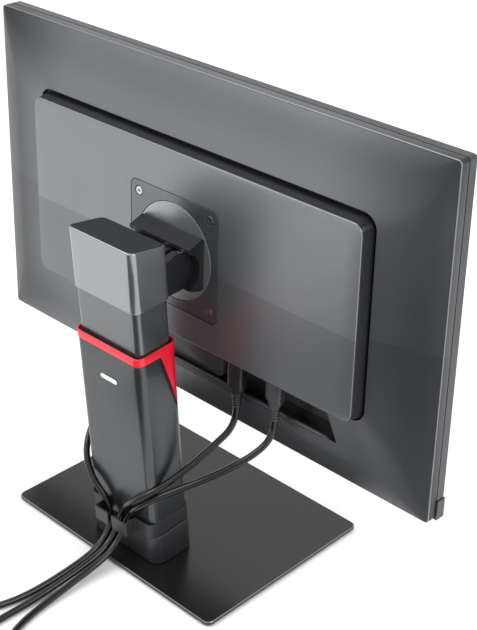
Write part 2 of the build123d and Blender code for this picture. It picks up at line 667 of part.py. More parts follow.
# each coil turns away from the middle: its centre, and the side on which its cord arrives
COILS = {
    "video_coil_a": ((COIL_R, 418.0), 1),
    "video_coil_b": ((-32.0 - COIL_R, 332.0), -1),
    "power_coil": ((32.0 + COIL_R, 332.0), 1),
}
ENDS = {"video_coil_a": "video_end_a", "power_coil": "mains_plug", "video_coil_b": "video_end_b"}
TOP_TURN = COIL_HIGH - CORD_D / 2
END_Z = {"video_coil_a": 8.0, "video_coil_b": 8.0, "power_coil": 9.4}
for name, ((x, y), way) in COILS.items():
    tail_from = Vector(x, y + COIL_R, TOP_TURN)
    tail_to = Vector(x + way * TAIL, y + COIL_R, END_Z[name])
    along = (tail_to - tail_from).normalized()
    with BuildPart() as coil:
        with BuildSketch():
            with Locations((x, y)):
                Circle(COIL_R + COIL_WIDE / 2)
                Circle(COIL_R - COIL_WIDE / 2, mode=Mode.SUBTRACT)
        extrude(amount=COIL_HIGH)
        rod(Plane(origin=tail_from, z_dir=along), CORD_D / 2, (tail_to - tail_from).length)
        # the cord's last stretch, straight into the ring's side
        rod(Plane(origin=(x - way * COIL_R, y - LEAD_IN, 3.6), z_dir=(0, 1, 0)), CORD_D / 2, LEAD_IN)
    finish(coil, name)

    face = Plane(origin=tail_to, x_dir=(0, 1, 0), z_dir=along)
    shell_from = tail_to + along * 13
    outward = Plane(origin=shell_from, x_dir=(0, 0, 1), z_dir=(way, 0, 0))
    with BuildPart() as end:
        rod(face, CORD_D / 2 + 1.2, 14)
        if name == "power_coil":
            with BuildSketch(outward) as shell:
                RectangleRounded(14, 30, 5)
            extrude(shell.sketch, amount=28)
            for at in ((0, -9.5), (0, 9.5)):
                rod(outward.offset(28), 2.4, 19, at)
        else:
            with BuildSketch(outward) as shell:
                RectangleRounded(10.4, 19, 1.8)
            extrude(shell.sketch, amount=24)
            with BuildSketch(outward.offset(24)) as shell:
                Rectangle(4.4, 15.2)
            extrude(shell.sketch, amount=12)
    finish(end, ENDS[name])
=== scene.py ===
import json
import math

import bmesh
import bpy
import numpy as np
from mathutils import Matrix, Vector


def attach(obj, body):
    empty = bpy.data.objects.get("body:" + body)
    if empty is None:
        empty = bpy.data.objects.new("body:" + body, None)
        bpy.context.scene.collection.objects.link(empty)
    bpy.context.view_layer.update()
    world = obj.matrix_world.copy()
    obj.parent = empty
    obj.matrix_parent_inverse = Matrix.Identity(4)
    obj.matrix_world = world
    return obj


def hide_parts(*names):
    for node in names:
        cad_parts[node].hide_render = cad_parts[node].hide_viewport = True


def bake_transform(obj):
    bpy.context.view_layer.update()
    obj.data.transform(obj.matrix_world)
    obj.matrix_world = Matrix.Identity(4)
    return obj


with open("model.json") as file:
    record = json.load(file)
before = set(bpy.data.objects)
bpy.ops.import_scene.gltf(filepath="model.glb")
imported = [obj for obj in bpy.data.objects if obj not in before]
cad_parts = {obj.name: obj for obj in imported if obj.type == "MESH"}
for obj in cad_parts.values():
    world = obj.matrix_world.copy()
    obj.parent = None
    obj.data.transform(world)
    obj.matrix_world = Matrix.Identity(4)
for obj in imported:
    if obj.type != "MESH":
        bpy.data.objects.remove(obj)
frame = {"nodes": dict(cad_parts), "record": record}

scene = bpy.context.scene
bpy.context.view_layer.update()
record = frame["record"]

# view and light

cameraPlace = {
    "target": (-0.05736, 0.019, 0.37305),  # metres
    "turn": 224.3,  # degrees round the display, 180 is straight behind it
    "height": 25.42,
    "roll": 0.9,
    "distance": 1.35955,
    "lens": 81.12,
    "shift": (0.0374, -0.1353),
}


def placeCamera(place):
    # the camera stands on a sphere round its target, then turns about its own line of sight
    turn, height, roll = (math.radians(place[key]) for key in ("turn", "height", "roll"))
    back = Vector(
        (math.sin(turn) * math.cos(height), -math.cos(turn) * math.cos(height), math.sin(height))
    )
    right = (-back).cross(Vector((0, 0, 1))).normalized()
    up = right.cross(-back)
    turnedRight = right * math.cos(roll) + up * math.sin(roll)
    turnedUp = up * math.cos(roll) - right * math.sin(roll)
    camera = bpy.data.objects.new("viewCamera", bpy.data.cameras.new("viewCamera"))
    scene.collection.objects.link(camera)
    pose = Matrix((turnedRight, turnedUp, back)).transposed().to_4x4()
    pose.translation = Vector(place["target"]) + back * place["distance"]
    camera.matrix_world = pose
    camera.data.sensor_width = 36
    camera.data.lens = place["lens"]
    camera.data.shift_x, camera.data.shift_y = place["shift"]
    camera.data.clip_start, camera.data.clip_end = 0.05, 30
    camera.data.dof.use_dof = False
    scene.camera = camera


placeCamera(cameraPlace)
print("camera placed")

# small tools


def linearColor(hexColor):
    # sRGB to linear: below 0.04045 divide by 12.92, above it the 2.4 power
    value = np.array([int(hexColor[n : n + 2], 16) / 255 for n in (1, 3, 5)])
    curved = np.where(value <= 0.04045, value / 12.92, ((value + 0.055) / 1.055) ** 2.4)
    return (*curved.tolist(), 1.0)


def addNode(tree, kind, inputs=None, settings=None, links=None):
    node = tree.nodes.new(kind)
    for key, value in (settings or {}).items():
        setattr(node, key, value)
    for key, value in (inputs or {}).items():
        node.inputs[key].default_value = value
    for key, source in (links or {}).items():
        tree.links.new(source, node.inputs[key])
    return node


def grain(millimetres):
    # a noise texture on Object coordinates shows features of about 1 m / Scale
    return 1000 / millimetres


finishes = {}
patternSizes = {"drift": 90, "sheen": 25}  # millimetres: colour drift, and roughness patches


def makeFinish(name, tones, roughness, grainSize, **look):
    # colour drifts between two tones over a long distance, the roughness over a middle one,
    # and the bump is the mould's or paint's own fine grain
    material = bpy.data.materials.new(name)
    material.use_nodes = True
    tree = material.node_tree
    tree.nodes.clear()
    place = addNode(tree, "ShaderNodeTexCoord")
    stretched = addNode(
        tree, "ShaderNodeMapping", {"Scale": look.get("stretch", (1, 1, 1))},
        links={"Vector": place.outputs["Object"]},
    )
    drift = addNode(
        tree, "ShaderNodeTexNoise", {"Scale": grain(patternSizes["drift"]), "Detail": 2.0},
        links={"Vector": place.outputs["Object"]},
    )
    tone = addNode(
        tree, "ShaderNodeMix",
        {6: linearColor(tones[0]), 7: linearColor(tones[1])},
        {"data_type": "RGBA"}, {0: drift.outputs["Fac"]},
    )
    color = tone.outputs[2]
    if "lowerTone" in look:
        # painted shade: the face turns slightly away below this height, and the colour is darkened
        # there to stand in for it
        height, share = look["lowerTone"]
        split = addNode(tree, "ShaderNodeSeparateXYZ", links={"Vector": place.outputs["Object"]})
        below = addNode(
            tree, "ShaderNodeMapRange",
            {
                "From Min": height - 0.0006, "From Max": height + 0.0006, "To Min": share,
                "To Max": 1.0,
            },
            links={"Value": split.outputs["Z"]},
        )
        shade = addNode(
            tree, "ShaderNodeVectorMath", settings={"operation": "SCALE"},
            links={0: color, "Scale": below.outputs["Result"]},
        )
        color = shade.outputs[0]
    for axis, start, end, share in look.get("edgeTones", ()):
        # painted shade: the colour is darkened towards the panel's edges, where less light falls
        split = addNode(tree, "ShaderNodeSeparateXYZ", links={"Vector": place.outputs["Object"]})
        edgeShading = addNode(
            tree, "ShaderNodeMapRange",
            {"From Min": start, "From Max": end, "To Min": share, "To Max": 1.0},
            {"interpolation_type": "SMOOTHSTEP"}, {"Value": split.outputs[axis]},
        )
        color = addNode(
            tree, "ShaderNodeVectorMath", settings={"operation": "SCALE"},
            links={0: color, "Scale": edgeShading.outputs["Result"]},
        ).outputs[0]
    worn = addNode(
        tree, "ShaderNodeTexNoise", {"Scale": grain(patternSizes["sheen"]), "Detail": 3.0},
        links={"Vector": place.outputs["Object"]},
    )
    rough = addNode(
        tree, "ShaderNodeMapRange",
        {"To Min": roughness[0], "To Max": roughness[1]},
        links={"Value": worn.outputs["Fac"]},
    )
    fine = addNode(
        tree, "ShaderNodeTexNoise",
        {"Scale": grain(grainSize), "Detail": 2.0, "Roughness": 0.6},
        links={"Vector": stretched.outputs["Vector"]},
    )
    relief = addNode(
        tree, "ShaderNodeBump",
        {"Strength": look.get("relief", 0.3), "Distance": look.get("reliefDepth", 0.05) / 1000},
        links={"Height": fine.outputs["Fac"]},
    )
    shader = addNode(
        tree, "ShaderNodeBsdfPrincipled",
        {
            "Metallic": look.get("metallic", 0.0),
            "Coat Weight": look.get("coat", 0.0),
            "Coat Roughness": look.get("coatRoughness", 0.1),
            "Specular IOR Level": look.get("specular", 0.5),
            "IOR": look.get("ior", 1.5),
        },
        links={
            "Base Color": color,
            "Roughness": rough.outputs["Result"],
            "Normal": relief.outputs["Normal"],
        },
    )
    addNode(tree, "ShaderNodeOutputMaterial", links={"Surface": shader.outputs["BSDF"]})
    material.diffuse_color = linearColor(tones[0])
    finishes[name] = material


def outline(low, high, radius, side=12, corner=9):
    # a rectangle with quarter-circle corners, walked anticlockwise from the lower right corner
    (x0, y0), (x1, y1) = low, high
    centres = np.array([(x1 - radius, y0 + radius), (x1 - radius, y1 - radius),
                        (x0 + radius, y1 - radius), (x0 + radius, y0 + radius)])
    angles = np.radians(-90 + 90 * np.arange(4)[:, None] + np.linspace(0, 90, corner)[None, :])
    arcs = centres[:, None, :] + radius * np.stack([np.cos(angles), np.sin(angles)], -1)
    share = np.linspace(0, 1, side + 2)[1:-1, None]
    straights = arcs[:, -1:, :] + (np.roll(arcs, -1, 0)[:, :1, :] - arcs[:, -1:, :]) * share[None]
    return np.concatenate([arcs, straights], 1).reshape(-1, 2)


def centredOutline(width, depth, radius, shift=0.0, **steps):
    return outline(
        (-width / 2, shift - depth / 2), (width / 2, shift + depth / 2), radius, **steps,
    )


def insetOutline(c, inset, side=8, least=0.6, size=("width", "depth")):
    # the outline of a piece's dictionary drawn in by inset, its corners with it
    return centredOutline(
        c[size[0]] - 2 * inset, c[size[1]] - 2 * inset, max(c["corner"] - inset, least),
        c.get("shift", 0.0), side=side, corner=12,
    )


def ringFaces(count, around, closedStart=True, closedEnd=True):
    # quads between neighbouring rings, and one flat face on each closed end
    near = (np.arange(count - 1)[:, None] * around + np.arange(around)[None, :]).ravel()
    beside = (
        np.arange(count - 1)[:, None] * around + (np.arange(around) + 1)[None, :] % around
    ).ravel()
    faces = np.stack([near, beside, beside + around, near + around], 1).tolist()
    if closedStart:
        faces.append(list(range(around))[::-1])
    if closedEnd:
        faces.append(list(range((count - 1) * around, count * around)))
    return faces


def joined(parts):
    # several (points, faces) shapes as one
    points, faces, total = [], [], 0
    for somePoints, someFaces in parts:
        flat = np.asarray(somePoints, float).reshape(-1, 3)
        points.append(flat)
        faces += [[n + total for n in face] for face in someFaces]
        total += len(flat)
    return np.concatenate(points), faces


def makeMesh(name, points, faces):
    # points are in millimetres in the shared frame; every face is turned outwards
    mesh = bpy.data.meshes.new(name)
    mesh.from_pydata((np.asarray(points, float).reshape(-1, 3) / 1000).tolist(), [], faces)
    work = bmesh.new()
    work.from_mesh(mesh)
    bmesh.ops.recalc_face_normals(work, faces=work.faces)
    work.to_mesh(mesh)
    work.free()
    return mesh


def addPiece(name, points, faces, body, finish, stands=(), slot=None, sharp=32):
    return settle(name, makeMesh(name, points, faces), body, finish, stands, sharp)


def smooth(mesh, sharp):
    mesh.polygons.foreach_set("use_smooth", np.ones(len(mesh.polygons), bool))
    mesh.set_sharp_from_angle(angle=math.radians(sharp))


def finishStrips(piece, extraFinishes, strips, around, ends):
    # a material index for each strip between two rings, then one for each end face
    for extra in extraFinishes:
        piece.data.materials.append(finishes[extra])
    index = np.concatenate([np.repeat(np.array(strips), around), ends]).astype(np.int32)
    piece.data.polygons.foreach_set("material_index", index)


def settle(name, mesh, body, finish, stands=(), sharp=32):
    smooth(mesh, sharp)
    piece = bpy.data.objects.new(name, mesh)
    scene.collection.objects.link(piece)
    mesh.materials.append(finishes[finish])
    if body:
        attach(piece, body)
    if stands:
        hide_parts(*stands)
    return piece


def ringPiece(
    name, rings, body, finish, stands=(), slot=None, closedStart=True, closedEnd=True, sharp=32,
):
    rings = np.asarray(rings, float)
    faces = ringFaces(rings.shape[0], rings.shape[1], closedStart, closedEnd)
    return addPiece(name, rings, faces, body, finish, stands, slot, sharp)


def softened(node, name, body, finish, width, segments=3):
    # the part's own shape with its loose triangles merged and its edges rounded by a small bevel
    work = bmesh.new()
    work.from_mesh(frame["nodes"][node].data)
    bmesh.ops.remove_doubles(work, verts=work.verts, dist=2e-6)
    bmesh.ops.dissolve_limit(
        work, angle_limit=math.radians(1.0), verts=work.verts, edges=work.edges
    )
    bmesh.ops.recalc_face_normals(work, faces=work.faces)
    mesh = bpy.data.meshes.new(name)
    work.to_mesh(mesh)
    work.free()
    piece = settle(name, mesh, body, finish, (node,), sharp=35)
    bevel = piece.modifiers.new("edges", "BEVEL")
    bevel.width, bevel.segments = width / 1000, segments
    bevel.limit_method, bevel.angle_limit = "ANGLE", math.radians(40)
    bevel.harden_normals = True
    return piece


# finishes, each named for what the real one is

# ABS moulded in a spark-eroded tool, then given a metallic charcoal lacquer: matte, with a fine
# even grain and broad soft reflections of the floor
makeFinish(
    "sparkTexturedLacquer", ("#7c7e82", "#828488"), (0.34, 0.4), 0.9, relief=0.2, reliefDepth=0.06,
    # painted shade below the crease of the hump's face
    lowerTone=(0.3225, 0.8), metallic=0.8,
)
# the same lacquer on the large outer panel, as a shaded copy: a little darker than on the hump,
# and darkened further towards its edges, all painted shade
makeFinish(
    "sparkTexturedPanel", ("#76787c", "#7c7e82"), (0.36, 0.42), 0.9, relief=0.2, reliefDepth=0.06,
    lowerTone=(0.3225, 0.85), metallic=0.8,
    edgeTones=(
        ("X", -0.31, -0.15, 0.34), ("X", 0.31, 0.16, 0.26), ("Z", 0.14, 0.26, 0.72),
        ("Z", 0.52, 0.44, 0.66),
    ),
)
# the same lacquer round the panel's narrow rim, where the tight radius catches the light; the rim
# is also left out of the painted edge shade, so it shows as a painted highlight line
makeFinish("rimHighlightLacquer", ("#7c7e80", "#828486"), (0.26, 0.32), 0.8, relief=0.08, metallic=0.75)
# ABS on the hump's steep side walls: nearly black, smoother; the dark tone is partly a painted
# reflection of the dark cover these walls face
makeFinish("polishedAbsWall", ("#101113", "#151618"), (0.26, 0.34), 1.2, relief=0.08)
# near-black ABS standing in for deep shade: painted shade in the air slot, the opening and the
# narrow gaps
makeFinish("blackVentAbs", ("#060607", "#0a0a0b"), (0.5, 0.6), 1.0)
# ABS with a smooth satin grain for the front frame
makeFinish("satinBezelAbs", ("#3c3d40", "#424346"), (0.3, 0.38), 0.8, relief=0.12, metallic=0.3)
# satin metallic lacquer over ABS: a lighter grey that picks up the floor
makeFinish(
    "satinGreyLacquer", ("#909294", "#96989a"), (0.22, 0.26), 0.6, relief=0.08, metallic=0.85,
)
# the same lacquer on the cap's sloping roof, darker and flatter: painted shade, standing in for
# the dark reflection the roof shows
makeFinish(
    "shadedRoofLacquer", ("#2c2e30", "#323436"), (0.36, 0.42), 0.6, relief=0.08, metallic=0.6,
    specular=0.3,
)
# satin charcoal lacquer over ABS, for the stand's column
makeFinish(
    "satinCharcoalLacquer", ("#4e5052", "#545658"), (0.24, 0.29), 0.6, relief=0.08, metallic=0.8,
)
# the inner column's satin lacquer, a little lighter than the outer one
makeFinish(
    "satinInnerLacquer", ("#6c6e70", "#727476"), (0.24, 0.29), 0.6, relief=0.08, metallic=0.85,
)
# ABS over the tilting joint: satin, nearly black
makeFinish("satinBlockAbs", ("#191a1c", "#1e1f21"), (0.36, 0.44), 0.8, relief=0.12, specular=0.3)
# ABS with a fine matte grain, for the clip and the collar
makeFinish("matteClipAbs", ("#232427", "#28292c"), (0.36, 0.44), 0.9, relief=0.2)
# red ABS, semi-gloss
makeFinish("redAbs", ("#d8082a", "#e00c2e"), (0.26, 0.32), 1.0, relief=0.08, specular=0.7)
# white pad-printing ink: flat and slightly raised
makeFinish("whitePadInk", ("#f2f2f2", "#fafafa"), (0.45, 0.5), 0.5)
# black powder coat on steel sheet: semi-gloss with a shallow orange peel, drawn at 2 mm to show
makeFinish(
    "blackPowderCoat", ("#121213", "#161617"), (0.2, 0.26), 2.0, relief=0.1, reliefDepth=0.03,
    specular=0.6,
)
# the plate's rim: its chamfer is painted light grey, a painted highlight along the edge
makeFinish("highlightCoatedEdge", ("#8b8c8e", "#97989a"), (0.2, 0.26), 1.5, metallic=0.6)
# black paint on die-cast zinc: satin, a little uneven
makeFinish(
    "satinDieCastPaint", ("#9a9c9e", "#a0a2a4"), (0.3, 0.36), 0.9, relief=0.16, metallic=0.8,
)
# powder coat on the pressed steel plate: satin charcoal that mirrors the arm softly
makeFinish("satinPlateCoat", ("#686a6c", "#6e7072"), (0.24, 0.3), 1.2, relief=0.14, metallic=0.8)
# bright zinc plating on steel
makeFinish(
    "zincPlatedSteel", ("#b9bcc0", "#c8cbce"), (0.22, 0.3), 0.7, metallic=1.0, stretch=(1, 1, 6),
    relief=0.1,
)
# soft PVC over copper: black, glossy, with the faint waviness of extrusion
makeFinish("extrudedPvc", ("#0c0c0d", "#121213"), (0.16, 0.24), 6.0, relief=0.12, reliefDepth=0.15)
# PVC moulded onto the cord's ends: satin black
makeFinish("mouldedPlugPvc", ("#161617", "#1c1c1d"), (0.32, 0.42), 0.7, relief=0.15)
# PVC plug moulded in grey
makeFinish("greyPlugPvc", ("#2e2f31", "#353638"), (0.3, 0.38), 0.7, relief=0.15)
# natural rubber compound, matt, slightly dusty
makeFinish("mattRubber", ("#1e1e1e", "#262626"), (0.75, 0.85), 0.8, relief=0.4)
# anti-glare coated glass over a dark panel
makeFinish(
    "antiGlareGlass", ("#0d0e11", "#101114"), (0.22, 0.26), 0.5, relief=0.1, coat=0.4,
    coatRoughness=0.25,
)
# white PET optical film
makeFinish("opalFilm", ("#e8e8e6", "#efefed"), (0.5, 0.6), 1.0)
# glass-fibre board under green solder mask
makeFinish("solderMaskBoard", ("#1d5a34", "#22643b"), (0.35, 0.45), 1.5, relief=0.3)
# plain rolled aluminium
makeFinish(
    "rolledAluminium", ("#c9cacc", "#d4d5d6"), (0.28, 0.36), 0.8, metallic=1.0, stretch=(1, 1, 12),
    relief=0.15,
)
print("finishes made:", len(finishes))

# the record's slots, and the finish that each carried-over part gets
slotFinish = {
    "cover_plastic": "sparkTexturedLacquer", "bezel_plastic": "satinBezelAbs",
    "stand_plastic": "satinCharcoalLacquer", "cap_plastic": "satinGreyLacquer",
    "red_plastic": "redAbs", "badge_white": "whitePadInk", "base_paint": "blackPowderCoat",
    "head_paint": "satinDieCastPaint", "steel": "zincPlatedSteel", "rubber": "mattRubber",
    "cord_pvc": "extrudedPvc", "plug_pvc": "mouldedPlugPvc", "screen_glass": "antiGlareGlass",
    "optic_sheet": "opalFilm", "board": "solderMaskBoard", "aluminium": "rolledAluminium",
}
for part in record["subparts"]:
    carried = frame["nodes"][part["node"]]
    if carried.type == "MESH":
        carried.data.materials.clear()
        carried.data.materials.append(finishes[slotFinish[part["material_slot"]]])

# cords

cordLook = {
    "diameter": 7.0,
    "around": 14,  # sides of the tube
    "coilRadii": (34.5, 41.5),  # the two columns of turns
    "coilLayers": (3.6, 10.6, 17.4),
    "turns": 5,
    "perTurn": 16,
    "cuts": (62, 118, 200),  # where the free stretch passes from one moving body to the next
}

# each route leaves its plug straight down and runs through the clip, back over the plate
routes = {
    "videoCordA": {
        "stands": ("video_cord_a", "video_coil_a"), "coil": (38.0, 418.0, 1),
        "plug": "videoEndA", "plugLevel": 8.0,
        "points": (
            (-84, 11, 190.3), (-84, 11, 174), (-82.5, 17, 157.5), (-77, 29, 146), (-70, 41, 134),
            (-63, 53, 121.5), (-57, 67, 112), (-53, 82.5, 106), (-45, 96.5, 98), (-32.5, 103, 87),
            (-18.5, 102, 74.5), (-7.5, 98.5, 61), (-2, 97.5, 44.5), (-0.5, 104, 29),
            (-0.2, 116.5, 18.5), (-1, 132, 13.5), (-1, 156, 10), (0, 188, 6), (0.5, 220, 3.6),
            (1.5, 251, 3.6), (0.8, 284, 3.6), (-0.5, 318, 3.6), (0, 353, 3.6), (0, 388, 3.6),
        ),
    },
    "videoCordB": {
        "stands": ("video_cord_b", "video_coil_b"), "coil": (-70.0, 332.0, -1),
        "plug": "videoEndB", "plugLevel": 8.0,
        "points": (
            (-135.5, 11, 197.6), (-135.5, 11, 182), (-134, 17.5, 167), (-127, 29, 155),
            (-116, 40.5, 143.5), (-101, 49.5, 130), (-83, 61, 115.5), (-65.5, 76.5, 103.5),
            (-49.5, 91, 92.5), (-35.5, 99, 80), (-23, 99, 67), (-14, 97.3, 52.5),
            (-10, 99.5, 37), (-9, 109, 24), (-9, 122.5, 15.5), (-9, 138, 11.5), (-9.5, 161, 8.5),
            (-11, 190, 5.5), (-13, 218, 3.6), (-18, 243, 3.6), (-26, 263, 3.6), (-31.5, 282, 3.6),
            (-32, 302, 3.6),
        ),
    },
    "powerCord": {
        "stands": ("power_cord", "power_coil"), "coil": (70.0, 332.0, 1),
        "plug": "mainsPlug", "plugLevel": 9.4,
        "points": (
            (85, 7, 190), (85, 7, 173), (83.5, 15, 157), (79.5, 30, 146.5), (74.5, 47, 138),
            (69.5, 63, 129), (64.5, 78.5, 117.5), (57.5, 91, 103.5), (47, 98.5, 90),
            (34.5, 101, 78), (22, 99.5, 66.5), (13.5, 97.5, 52), (9.5, 99.5, 36.5),
            (8.3, 109, 23.5), (8, 122.5, 15), (7.7, 138, 11), (8, 161, 8), (9.5, 190, 5),
            (12, 218, 3.6), (18, 243, 3.6), (26, 263, 3.6), (31.5, 282, 3.6), (32, 302, 3.6),
        ),
    },
}


def coilPoints(centreX, centreY, way, look):
    # turns about the coil's middle: the height climbs a layer a turn, then the radius steps in;
    # the last quarter ends on top, heading outwards to the plug
    turns = look["turns"] + 0.25
    turn = np.linspace(0, turns, int(turns * look["perTurn"]) + 1)
    inner, outer = look["coilRadii"]
    low, middle, top = look["coilLayers"]
    half = (outer + inner) / 2
    steps = [0, 0.35, 0.9, 1.2, 1.9, 2.2, 2.9, 3.2, 3.9, 4.2, 4.9, 5.25]
    radii = [half, outer, outer] + [inner, inner, outer, outer] * 2 + [half]
    radius = np.interp(turn, steps, radii)
    height = np.interp(turn, steps, [low] * 5 + [middle] * 4 + [top] * 3)
    angle = math.pi - 2 * math.pi * turn if way > 0 else 2 * math.pi * turn
    return np.stack(
        [centreX + radius * np.cos(angle), centreY + radius * np.sin(angle), height], 1,
    )


def splinePath(points, resolution=6):
    # the smooth line of a NURBS spline of order 3 with these control points
    curve = bpy.data.curves.new("routeLine", "CURVE")
    curve.dimensions = "3D"
    spline = curve.splines.new("NURBS")
    spline.points.add(len(points) - 1)
    control = np.concatenate([np.asarray(points, float) / 1000, np.ones((len(points), 1))], 1)
    spline.points.foreach_set("co", control.ravel())
    spline.order_u = 3
    spline.use_endpoint_u = True
    spline.resolution_u = resolution
    holder = bpy.data.objects.new("routeLine", curve)
    scene.collection.objects.link(holder)
    bpy.context.view_layer.update()
    line = bpy.data.meshes.new_from_object(
        holder.evaluated_get(bpy.context.evaluated_depsgraph_get())
    )
    path = np.empty(len(line.vertices) * 3)
    line.vertices.foreach_get("co", path)
    bpy.data.objects.remove(holder)
    bpy.data.meshes.remove(line)
    path = path.reshape(-1, 3) * 1000
    keep = np.concatenate([[True], np.linalg.norm(np.diff(path, axis=0), axis=1) > 0.02])
    return path[keep]


def pathLengths(path):
    # the distance along the path to each of its points
    return np.concatenate([[0], np.cumsum(np.linalg.norm(np.diff(path, axis=0), axis=1))])


def tubeRings(path, radius, around):
    # circles across the path, each turned from the one before by the bend between them
    tangent = np.gradient(path, axis=0)
    tangent /= np.linalg.norm(tangent, axis=1)[:, None]
    first = np.cross(tangent[0], [0.31, 0.87, 0.38])
    normals = [first / np.linalg.norm(first)]
    for t in tangent[1:]:
        n = normals[-1] - t * np.dot(normals[-1], t)
        normals.append(n / np.linalg.norm(n))
    normal = np.array(normals)
    other = np.cross(tangent, normal)
    angle = np.linspace(0, 2 * math.pi, around, endpoint=False)[None, :, None]
    radius = np.broadcast_to(radius, len(path))[:, None, None]
    return path[:, None, :] + radius * (
        np.cos(angle) * normal[:, None, :] + np.sin(angle) * other[:, None, :]
    )


def cutPath(path, start, end):
    # the stretch between two distances along the path, with its ends worked out exactly
    along = pathLengths(path)
    inside = path[(along > start + 0.5) & (along < end - 0.5)]
    ends = [np.array([np.interp(s, along, path[:, n]) for n in range(3)]) for s in (start, end)]
    return np.concatenate([ends[:1], inside, ends[1:]])


cordPieces = {}
for cordName, route in routes.items():
    free = np.array(route["points"], float)
    x, y, way = route["coil"]
    wound = coilPoints(x, y, way, cordLook)
    tail = np.array([(x + way * 20, y + 38.0, 15.5), (x + way * 45, y + 38.0, route["plugLevel"])])
    path = splinePath(np.concatenate([free, wound, tail]))
    total = pathLengths(path)[-1]
    cuts = [0, *cordLook["cuts"], total]
    for n in range(4):
        stretch = cutPath(path, cuts[n], cuts[n + 1])
        pieceName = f"{cordName}{n + 1}"
        rings = tubeRings(stretch, cordLook["diameter"] / 2, cordLook["around"])
        piece = ringPiece(
            pieceName, rings, None, "extrudedPvc", route["stands"], "cord_pvc", sharp=60,
        )
        start, end = stretch[0] / 1000, stretch[-1] / 1000
        if n == 3:
            start, end = (0, 0.112, 0.02), (0, 0.215, 0.0036)
        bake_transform(piece)
        cordPieces[pieceName] = (piece, stretch)
    print(cordName, "is", round(total), "mm long, coil included")

# plugs


def plugRings(sections):
    # rounded rectangles stacked along the plug's own axis: (height, width, depth, corner)
    return np.array([
        np.concatenate([centredOutline(w, d, min(r, w / 2 - 0.01, d / 2 - 0.01), side=3, corner=6),
                        np.full((4 * 9, 1), h)], 1)
        for h, w, d, r in sections
    ])


def ribbedNeck(start, length, slim, stout, ribs):
    # a relief that widens towards the plug, cut by grooves so that it bends with the cord
    sections = []
    pitch = length / ribs
    for n in range(ribs):
        size = slim + (stout - slim) * (n + 0.5) / ribs
        h = start + n * pitch
        sections += [
            (h, size - 1.5, size - 1.5, size), (h + 0.18 * pitch, size - 1.5, size - 1.5, size),
            (h + 0.25 * pitch, size, size, size), (h + 0.9 * pitch, size + 0.2, size + 0.2, size),
            (h + pitch, size - 1.2, size - 1.2, size),
        ]
    return sections


def plugShape(spec):
    # (height, width, depth, corner) sections from the ribbed relief to the flat mouth
    wide, deep, tall = spec["wide"], spec["deep"], spec["tall"]
    neck = spec["neck"]
    sections = ribbedNeck(spec["reliefFrom"], spec["reliefLength"], 8.4, 10.4, spec["ribs"])
    sections += [
        (neck, 10.6, 9.6, 4.5), (neck + 1, 12.5, 9.8, 4.0), (neck + 5, wide - 3, deep - 1.2, 3.4),
        (neck + 7, wide - 0.6, deep - 0.4, 2.6), (neck + 8, wide, deep, 2.2),
        (tall - 1.2, wide, deep, 2.2), (tall - 0.3, wide - 0.5, deep - 0.5, 2.0),
        (tall, wide - 1.6, deep - 1.6, 1.6),
    ]
    rings = plugRings(sections)
    return rings, ringFaces(rings.shape[0], rings.shape[1])


displayPlugs = {
    "videoPlugA": {
        "node": "video_plug_a", "at": (-84, 11, 190.3), "wide": 19, "deep": 10.4, "tall": 52.7,
        "neck": 8.7, "reliefFrom": -7.0, "reliefLength": 15.7, "ribs": 5,
        "finish": "mouldedPlugPvc",
    },
    "videoPlugB": {
        "node": "video_plug_b", "at": (-135.5, 11, 197.6), "wide": 19, "deep": 10.4, "tall": 45.4,
        "neck": 8.7, "reliefFrom": -7.0, "reliefLength": 15.7, "ribs": 5, "finish": "greyPlugPvc",
    },
    "powerPlug": {
        "node": "power_plug", "at": (85, 7, 190), "wide": 25, "deep": 18, "tall": 53, "neck": 8.7,
        "reliefFrom": -12.0, "reliefLength": 20.7, "ribs": 6, "finish": "mouldedPlugPvc",
    },
}
for plugName, spec in displayPlugs.items():
    rings, faces = plugShape(spec)
    points = rings.reshape(-1, 3) + np.array(spec["at"])
    addPiece(
        plugName, points, faces, "display", spec["finish"], (spec["node"],), "plug_pvc", sharp=40,
    )
print("display plugs made")


def lyingPlug(x, y, way, mains, start):
    # the same kind of plug laid along X, and its metal: two round pins, or a flat shell
    slope = math.atan2(17.5 - start, 45.0)
    spec = {
        "wide": 30 if mains else 19, "deep": 14 if mains else 10.4, "tall": 41 if mains else 37,
        "neck": 4.7, "reliefFrom": -14.0 if mains else -10.0,
        "reliefLength": 18.7 if mains else 14.7, "ribs": 6 if mains else 5,
    }
    rings, faces = plugShape(spec)
    local = rings.reshape(-1, 3)
    reach = local[:, 2]
    bend = 13  # millimetres along the plug where it comes level
    drop = np.where(reach < bend, -reach * math.sin(slope), -bend * math.sin(slope))
    body = np.stack([x + way * reach, y + local[:, 0], start + drop + local[:, 1]], 1)
    level = start - bend * math.sin(slope)
    if mains:
        sections = [
            (40, 4.6, 4.6, 2.3), (57.5, 4.6, 4.6, 2.3), (59.2, 3.4, 3.4, 1.7),
            (59.8, 1.6, 1.6, 0.8),
        ]
        sides = (-9.5, 9.5)
    else:
        sections = [(36.5, 15.2, 4.4, 0.8), (48.6, 15.2, 4.4, 0.8), (49, 14.4, 3.8, 0.6)]
        sides = (0.0,)
    contact = plugRings(sections)
    flat = contact.reshape(-1, 3)
    metal = [
        (np.stack([x + way * flat[:, 2], y + side + flat[:, 0], level + flat[:, 1]], 1),
         ringFaces(contact.shape[0], contact.shape[1]))
        for side in sides
    ]
    return (body, faces), joined(metal)


tieLook = {"low": (-8.2, 0.05), "high": (8.2, 21.6), "corner": 4.0, "thick": 1.0, "wide": 6.0}


